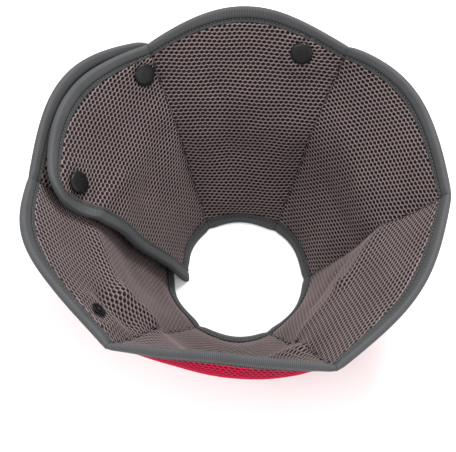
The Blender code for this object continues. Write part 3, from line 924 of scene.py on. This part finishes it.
def tape_mesh(name, place_of, measure, nodes):
    """A tape carried along an edge: its section at many stations, its outer faces moved out and in
    by a rib wave along the tape, pinched a little at both ends, and its ends closed."""
    sizes = bpy.context.scene.cone_sizes
    section = tape_section()
    rows, count = len(section), len(measure)
    rib = 0.5 - 0.5 * np.cos(2 * math.pi * measure / sizes.rib_pitch)
    share = section[:, 2][:, None] * np.ones(count)[None, :]
    away = np.stack([np.zeros(rows), np.sign(section[:, 1])], -1)
    folded = section[:, 0] < 0.0004
    away[folded] = np.stack([-np.ones(folded.sum()), section[folded, 1] / 0.003], -1)
    away = away / np.maximum(np.linalg.norm(away, axis=1, keepdims=True), 1e-9)
    away = away * section[:, 2:]
    proud = sizes.rib_height * rib[None, :]
    to_end = np.minimum(measure, measure[-1] - measure)
    pinch = 1 - 0.30 * np.exp(-((to_end / 0.0040) ** 2))
    distance = section[:, 0][:, None] + away[:, 0][:, None] * proud
    lift = section[:, 1][:, None] * pinch[None, :] + away[:, 1][:, None] * proud
    points = place_of(distance, lift)
    quads = grid_faces(rows, count, wrap_rows=True)
    index = np.arange(rows * count).reshape(rows, count)
    ends = [index[:, 0][None, :], index[:, -1][::-1][None, :]]
    made = new_object(name, points.reshape(-1, 3), [quads, *ends], finish_of("ribbed_tape"))
    # Painted shade in the stitch groove and at the tape's edge, and a painted highlight on each rib,
    # stored as the rib value
    painted_groove_shade = np.exp(-(((section[:, 0] - TAPE_WIDTH + STITCH_IN) / 0.0009) ** 2))[:, None]
    float_attribute(made, "rib", share * (rib[None, :] * 0.8 + 0.2) * (1 - 0.95 * painted_groove_shade))
    # Paler along the tape's fold
    paler_at_fold = np.clip(1 - np.abs(section[:, 0] + 0.0005) / 0.0022, 0, 1) * 0.3 * section[:, 2]
    float_attribute(made, "fold_paling", paler_at_fold[:, None] * np.ones(count)[None, :])
    steps = np.diff(section[:, :2], axis=0, prepend=section[:1, :2])
    around = np.cumsum(np.linalg.norm(steps, axis=1))
    flat = np.stack(np.broadcast_arrays(measure[None, :], around[:, None]), -1).reshape(-1, 2)
    store_uv(made, flat)
    triangulate_ends(made)
    face_out(made)
    made.data.set_sharp_from_angle(angle=math.radians(60))
    return dress(made, "binding_tape", *nodes)


def triangulate_ends(made):
    """Cuts the many-sided end faces into triangles."""
    shape = bmesh.new()
    shape.from_mesh(made.data)
    wide = [face for face in shape.faces if len(face.verts) > 4]
    bmesh.ops.triangulate(shape, faces=wide)
    shape.to_mesh(made.data)
    shape.free()


def rim_path(panel):
    """The edge that a panel's binding follows, as columns of (distance from the panel's first edge,
    distance below the rim, inward direction in those two, how far it fans with the panel). On a
    panel with a free end it climbs the end, turns round the corner and runs on along the rim."""
    width, length = (float(value) for value in wall_sizes(panel, 1.0))
    rim = np.linspace(CORNER if panel in FREE_ENDS else GAP / 2, width - GAP / 2, 240)
    along = np.stack([rim, rim * 0, rim * 0, rim * 0 + 1, rim * 0 + 1], -1)
    if panel not in FREE_ENDS:
        return along
    along[:, 4] = (rim - CORNER) / (width - CORNER)
    climb = np.linspace(length + TAPE_FOLD, CORNER, 160)[:-1]
    end = np.stack([climb * 0, climb, climb * 0 + 1, climb * 0, climb * 0], -1)
    turn = np.linspace(0, math.pi / 2, 60)[:-1]
    x, y = CORNER * (1 - np.cos(turn)), CORNER * (1 - np.sin(turn))
    bend = np.stack([x, y, np.cos(turn), np.sin(turn), turn * 0], -1)
    return np.concatenate([end, bend, along])


def path_point(panel, path, distance, lift):
    """Points at distances in from a path and at heights off the wall's middle."""
    full, length = wall_sizes(panel, 1.0)
    u = 1 - (path[..., 1] + path[..., 3] * distance) / length
    width, _ = wall_sizes(panel, u)
    fan = 1 + path[..., 4] * (width / full - 1)
    s = (path[..., 0] + path[..., 2] * distance) * fan / width
    return raised(panel, 1 - s if panel == LAST else s, u, lift)


def even_stations(line, per_rib=4):
    """Even steps along a line of points, so many to each rib, as places on it and lengths run."""
    pitch = bpy.context.scene.cone_sizes.rib_pitch
    run = np.concatenate([[0.0], np.cumsum(np.linalg.norm(np.diff(line, axis=0), axis=1))])
    count = max(9, int(round(run[-1] / pitch)) * per_rib + 1)
    measure = np.linspace(0, run[-1], count)
    return np.interp(measure, run, np.arange(len(run))), measure


def at_places(rows, places, marks=None):
    """Rows of a table at places between its own, which are whole numbers or the marks given."""
    marks = np.arange(len(rows)) if marks is None else marks
    return np.stack([np.interp(places, marks, rows[:, k]) for k in range(rows.shape[1])], -1)


def make_rim_tape(panel):
    """Tape folded over a panel's rim, and over its free end where it has one."""
    path = rim_path(panel)
    line = path_point(panel, path, 0.0, 0.0)
    places, measure = even_stations(line)
    path = at_places(path, places)

    def place_of(distance, lift):
        return path_point(panel, path[None, :, :], distance, lift)

    word = PANELS[panel][0]
    nodes = [f"rim_tape_{word}"]
    if panel in FREE_ENDS:
        nodes.append(f"end_tape_{word}")
    return tape_mesh(f"rim_binding_{word}", place_of, measure, nodes)


def make_neck_tape(panel):
    """Tape folded over a panel's neck edge, where its fold lies level."""
    _, length = wall_sizes(panel, 1.0)
    first_guess = np.linspace(0, 1, 120)
    places, measure = even_stations(wall_point(panel, first_guess, 0.0))
    share = np.interp(places, np.arange(120), first_guess)[None, :]

    def place_of(distance, lift):
        u = np.maximum(distance, 0) / length
        s = columns(panel, u, share)
        return raised(panel, s, u, lift, below=np.maximum(-distance, 0))

    word = PANELS[panel][0]
    return tape_mesh(f"neck_binding_{word}", place_of, measure, [f"neck_tape_{word}"])


def stitch_solids(middle, along, out, half, radius):
    """Stitches as short bowed rods: four rings of five points each, sunk at both ends."""
    across = np.cross(along, out)
    place = np.array([-1.0, -0.55, 0.55, 1.0])
    thick = np.array([0.45, 1.0, 1.0, 0.45])
    sink = np.array([-1.0, 0.35, 0.35, -1.0])
    turn = np.arange(5) / 5 * 2 * math.pi
    ring = np.cos(turn)[None, :, None, None] * across[None, None]
    ring = ring + np.sin(turn)[None, :, None, None] * out[None, None]
    spine = middle[None] + place[:, None, None] * half * along[None]
    spine = spine + sink[:, None, None] * radius * out[None]
    points = spine[:, None] + ring * radius * thick[:, None, None, None]
    count = middle.shape[0]
    points = np.moveaxis(points, 2, 0).reshape(-1, 3)
    index = np.arange(count * 20).reshape(count, 4, 5)
    following = np.roll(index, -1, axis=2)
    quads = np.stack([index[:, :-1], index[:, 1:], following[:, 1:], following[:, :-1]], -1)
    ends = np.concatenate([index[:, 0], index[:, -1][:, ::-1]])
    return points, [quads.reshape(-1, 4), ends]


def stitch_row(name, line, out, slot="binding_tape"):
    """Stitches laid end to end with small gaps along a line of points with outward directions."""
    sizes = bpy.context.scene.cone_sizes
    steps = np.linalg.norm(np.diff(line, axis=0), axis=1)
    run = np.concatenate([[0.0], np.cumsum(steps)])
    count = max(2, int(run[-1] / (sizes.stitch * 1.3)))
    at = (np.arange(count) + 0.5) / count * run[-1]
    step = 0.0005
    middle = at_places(line, at, run)
    along = unit(at_places(line, at + step, run) - at_places(line, at - step, run))
    away = unit(at_places(out, at, run))
    points, faces = stitch_solids(middle, along, away, sizes.stitch / 2, sizes.thread)
    made = new_object(name, points, faces, finish_of("sewing_thread"))
    face_out(made)
    return dress(made, slot)


def tape_stitches(panel, kind, side):
    """The row of stitches along a tape's leaf, a little in from the tape's edge."""
    inside = TAPE_WIDTH - STITCH_IN
    lift = side * (TAPE_LIFT + TAPE_THICKNESS - 0.00045)
    _, length = wall_sizes(panel, 1.0)
    if kind == "rim":
        path = rim_path(panel)[2:-2]
        line = path_point(panel, path, inside, lift)
        out = unit(path_point(panel, path, inside, lift * 1.5) - line)
    else:
        u = np.full(200, inside / length)
        s = columns(panel, u, np.linspace(0.004, 0.996, 200))
        line = raised(panel, s, u, lift)
        out = side * unit(thickness_way(panel, s, u))
    stitch_row(f"{kind}_stitches_{SIDE_WORDS[side]}_{PANELS[panel][0]}", line, out)


def seam_stitches(number, side):
    """A row of stitches down the crease where two panels join, on the later panel's first side."""
    u = np.linspace(0.06, 0.94, 220)
    s = np.zeros(220)
    line = raised(number, s, u, side * (LAYER_AT_EDGE + GAP))
    out = side * unit(thickness_way(number, s, u))
    stitch_row(f"seam_stitches_{SIDE_WORDS[side]}_{SEAMS[number][0]}", line, out, "grey_air_mesh")


def node_points(name):
    """A CAD node's points as an array."""
    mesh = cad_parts[name].data
    points = np.empty(len(mesh.vertices) * 3)
    mesh.vertices.foreach_get("co", points)
    return np.unique(np.round(points.reshape(-1, 3), 7), axis=0)


def turned_piece(name, axis, profile_of, sides=48):
    """A finely turned piece in a CAD node's place. The node's furthest ring gives the middle of its
    top, and its reach along the axis gives its length."""
    points = node_points(name)
    reach = points @ axis
    top = points[reach > reach.max() - 1e-5]
    middle = top.mean(axis=0)
    profile = np.array(profile_of(reach.max() - reach.min()))
    first = unit(np.cross(axis, (0.3, 0.5, 0.8)))
    second = np.cross(axis, first)
    turn = np.arange(sides) / sides * 2 * math.pi
    ring = np.cos(turn)[:, None] * first + np.sin(turn)[:, None] * second
    body = middle + profile[:, 0][:, None, None] * ring + profile[:, 1][:, None, None] * axis
    rows = len(profile)
    index = np.arange(rows * sides).reshape(rows, sides)
    following = np.roll(index, -1, axis=1)
    quads = np.stack([index[:-1], index[1:], following[1:], following[:-1]], -1).reshape(-1, 4)
    made = new_object(f"fine_{name}", body.reshape(-1, 3), quads, finish_of("snap_plastic"))
    face_out(made, merge=1e-6)
    made.data.set_sharp_from_angle(angle=math.radians(45))
    return dress(made, "black_plastic", name)


def rounded(points, radius=0.0003, steps=4):
    """A profile with each inner corner cut back and rounded by a short second-degree curve."""
    kept = [points[0]]
    for before, here, after in zip(points[:-2], points[1:-1], points[2:]):
        before, here, after = (np.array(p, float) for p in (before, here, after))
        back = min(radius, np.linalg.norm(before - here) * 0.45)
        on = min(radius, np.linalg.norm(after - here) * 0.45)
        start = here + unit(before - here) * back
        end = here + unit(after - here) * on
        for t in np.linspace(0, 1, steps):
            kept.append(tuple((1 - t) ** 2 * start + 2 * t * (1 - t) * here + t**2 * end))
    kept.append(points[-1])
    return kept


def cap_profile(length):
    """A low flat-topped cap with a soft edge, and its post, from the cap's top down."""
    post = length - CAP_HEIGHT
    return rounded([
        (0.0, 0.0), (0.45 * CAP_RADIUS, -0.02 * CAP_HEIGHT),
        (0.76 * CAP_RADIUS, -0.10 * CAP_HEIGHT), (0.92 * CAP_RADIUS, -0.28 * CAP_HEIGHT),
        (0.985 * CAP_RADIUS, -0.50 * CAP_HEIGHT), (CAP_RADIUS, -0.70 * CAP_HEIGHT),
        (CAP_RADIUS, -CAP_HEIGHT), (POST_RADIUS, -CAP_HEIGHT),
        (POST_RADIUS, -CAP_HEIGHT - post), (0.0, -CAP_HEIGHT - post),
    ])


def socket_profile(length):
    """A round socket with a bore in its top."""
    return rounded([
        (0.0, -KNOB_HEIGHT - GAP), (SOCKET_BORE, -KNOB_HEIGHT - GAP), (SOCKET_BORE, 0.0),
        (0.72 * SOCKET_RADIUS, 0.0), (SOCKET_RADIUS, -0.45 * length), (SOCKET_RADIUS, -length),
        (0.0, -length),
    ])


def stud_profile(length):
    """A flange with a round knob on it."""
    return rounded([
        (0.0, 0.0), (0.8 * STUD_KNOB, 0.0), (STUD_KNOB, -0.4 * KNOB_HEIGHT),
        (0.85 * STUD_KNOB, -KNOB_HEIGHT), (STUD_RADIUS, -KNOB_HEIGHT), (STUD_RADIUS, -length),
        (0.0, -length),
    ])


def make_snap(name, panel, s, u, cap_side, half):
    """A cap with its post, the half on the panel's other side, and a mate on the outer lap."""
    out = unit(thickness_way(panel, np.array(s), np.array(u)))
    turned_piece(f"snap_cap_{name}", cap_side * out, cap_profile)
    profile = socket_profile if half == "socket" else stud_profile
    turned_piece(f"snap_{half}_{name}", -cap_side * out, profile)
    if name in MATES:
        turned_piece(f"snap_stud_{name}_mate", cap_side * out, stud_profile)
        turned_piece(f"snap_cap_{name}_mate", -cap_side * out, cap_profile)


class PadsOperator(bpy.types.Operator):
    """Makes the padded backing of every panel, inner and outer"""

    bl_idname = "cone.pads"
    bl_label = "Pads"

    def execute(self, context):
        for panel in range(len(PANELS)):
            for side in (INNER, OUTER):
                make_pad(panel, side)
        return {"FINISHED"}


class NetsOperator(bpy.types.Operator):
    """Makes the open nets that face the pads"""

    bl_idname = "cone.nets"
    bl_label = "Nets"

    def execute(self, context):
        for panel in range(len(PANELS)):
            for side in (INNER, OUTER):
                make_net(panel, side)
        return {"FINISHED"}


class TapesOperator(bpy.types.Operator):
    """Makes the ribbed binding at the rim, at the neck and on the fan's two ends"""

    bl_idname = "cone.tapes"
    bl_label = "Binding tapes"

    def execute(self, context):
        for panel in range(len(PANELS)):
            make_rim_tape(panel)
            make_neck_tape(panel)
        return {"FINISHED"}


class StitchesOperator(bpy.types.Operator):
    """Makes the rows of stitches on the tapes and down the seams"""

    bl_idname = "cone.stitches"
    bl_label = "Stitches"

    def execute(self, context):
        for side in (INNER, OUTER):
            for panel in range(len(PANELS)):
                tape_stitches(panel, "rim", side)
                tape_stitches(panel, "neck", side)
            for number in range(1, len(PANELS)):
                seam_stitches(number, side)
        return {"FINISHED"}


class SnapsOperator(bpy.types.Operator):
    """Makes the round caps, sockets and studs of the snap fasteners"""

    bl_idname = "cone.snaps"
    bl_label = "Snap fasteners"

    def execute(self, context):
        for row in SNAPS:
            make_snap(*row)
        return {"FINISHED"}


def area_light(name, place, aim, power, width):
    """A square soft light that looks at a point."""
    light = bpy.data.lights.new(name, "AREA")
    light.energy = power
    light.size = width
    made = bpy.data.objects.new(name, light)
    bpy.context.scene.collection.objects.link(made)
    made.location = place
    made.rotation_euler = (Vector(aim) - Vector(place)).to_track_quat("-Z", "Y").to_euler()
    return made


class StageOperator(bpy.types.Operator):
    """Makes the pale floor, the soft lights and the camera"""

    bl_idname = "cone.stage"
    bl_label = "Floor, lights and camera"

    def execute(self, context):
        low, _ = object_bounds()
        wide = 6.0  # half the floor's side, in metres
        corners = np.array([(-wide, -wide), (wide, -wide), (wide, wide), (-wide, wide)])
        points = np.column_stack([corners, np.full(4, low[2] - 0.0002)])
        floor = new_object("floor", points, np.array([[0, 1, 2, 3]]), finish_of("pale_floor"), False)
        floor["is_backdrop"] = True
        world = bpy.data.worlds.new("soft_room")
        context.scene.world = world
        world.use_nodes = True
        world.node_tree.nodes["Background"].inputs["Color"].default_value = (1.0, 1.0, 1.0, 1.0)
        world.node_tree.nodes["Background"].inputs["Strength"].default_value = 0.95
        aim = (0.0, 0.0, 0.1)
        area_light("key_light", (0.35, 1.0, 1.8), aim, 46.0, 0.7)
        area_light("fill_light", (-0.9, -0.7, 1.6), aim, 16.0, 1.0)
        area_light("low_light", (1.2, -1.0, 1.2), aim, 12.0, 1.2)
        mouth = OFFSET + np.array([0.0, 0.0, DEPTH])
        tilt = math.radians(VIEW_ELEVATION)
        back = np.array([0.0, -math.cos(tilt), math.sin(tilt)])
        up = np.array([0.0, math.sin(tilt), math.cos(tilt)])
        right = np.array([1.0, 0.0, 0.0])
        off_x = MOUTH_AT[0] - PICTURE[0] / 2
        off_y = PICTURE[1] / 2 - MOUTH_AT[1]
        look = unit(-back * VIEW_FOCAL - right * off_x - up * off_y)
        level = unit(right - look * (right @ look))
        axes = np.column_stack([level, np.cross(level, look), -look])
        camera = bpy.data.objects.new("camera", bpy.data.cameras.new("camera"))
        context.scene.collection.objects.link(camera)
        camera.location = mouth + back * VIEW_DISTANCE
        camera.rotation_euler = Matrix(axes.tolist()).to_euler()
        camera.data.sensor_width = 36.0
        camera.data.lens = 36.0 * VIEW_FOCAL / PICTURE[0]
        context.scene.camera = camera
        context.scene.view_settings.view_transform = "Standard"
        return {"FINISHED"}


OPERATORS = (
    StageOperator, PadsOperator, NetsOperator, TapesOperator, StitchesOperator, SnapsOperator,
)


class ConePanel(bpy.types.Panel):
    """Lists the cone's sizes, colours and makers in the sidebar"""

    bl_label = "Recovery cone"
    bl_idname = "VIEW3D_PT_recovery_cone"
    bl_space_type = "VIEW_3D"
    bl_region_type = "UI"
    bl_category = "Recovery cone"

    def draw(self, context):
        for group in (context.scene.cone_sizes, context.scene.cone_colours):
            box = self.layout.box()
            for name in group.bl_rna.properties.keys():
                if name not in {"rna_type", "name"}:
                    box.prop(group, name)
        for operator in OPERATORS:
            self.layout.operator(operator.bl_idname)


CLASSES = (ConeSizes, ConeColours, *OPERATORS, ConePanel)


def register():
    for kind in CLASSES:
        bpy.utils.register_class(kind)
    bpy.types.Scene.cone_sizes = bpy.props.PointerProperty(type=ConeSizes)
    bpy.types.Scene.cone_colours = bpy.props.PointerProperty(type=ConeColours)


def unregister():
    del bpy.types.Scene.cone_sizes
    del bpy.types.Scene.cone_colours
    for kind in reversed(CLASSES):
        bpy.utils.unregister_class(kind)


def main():
    """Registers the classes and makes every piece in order."""
    register()
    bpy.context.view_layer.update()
    bpy.ops.cone.stage()
    bpy.ops.cone.pads()
    bpy.ops.cone.nets()
    bpy.ops.cone.tapes()
    bpy.ops.cone.stitches()
    bpy.ops.cone.snaps()


if __name__ == "__main__":
    main()
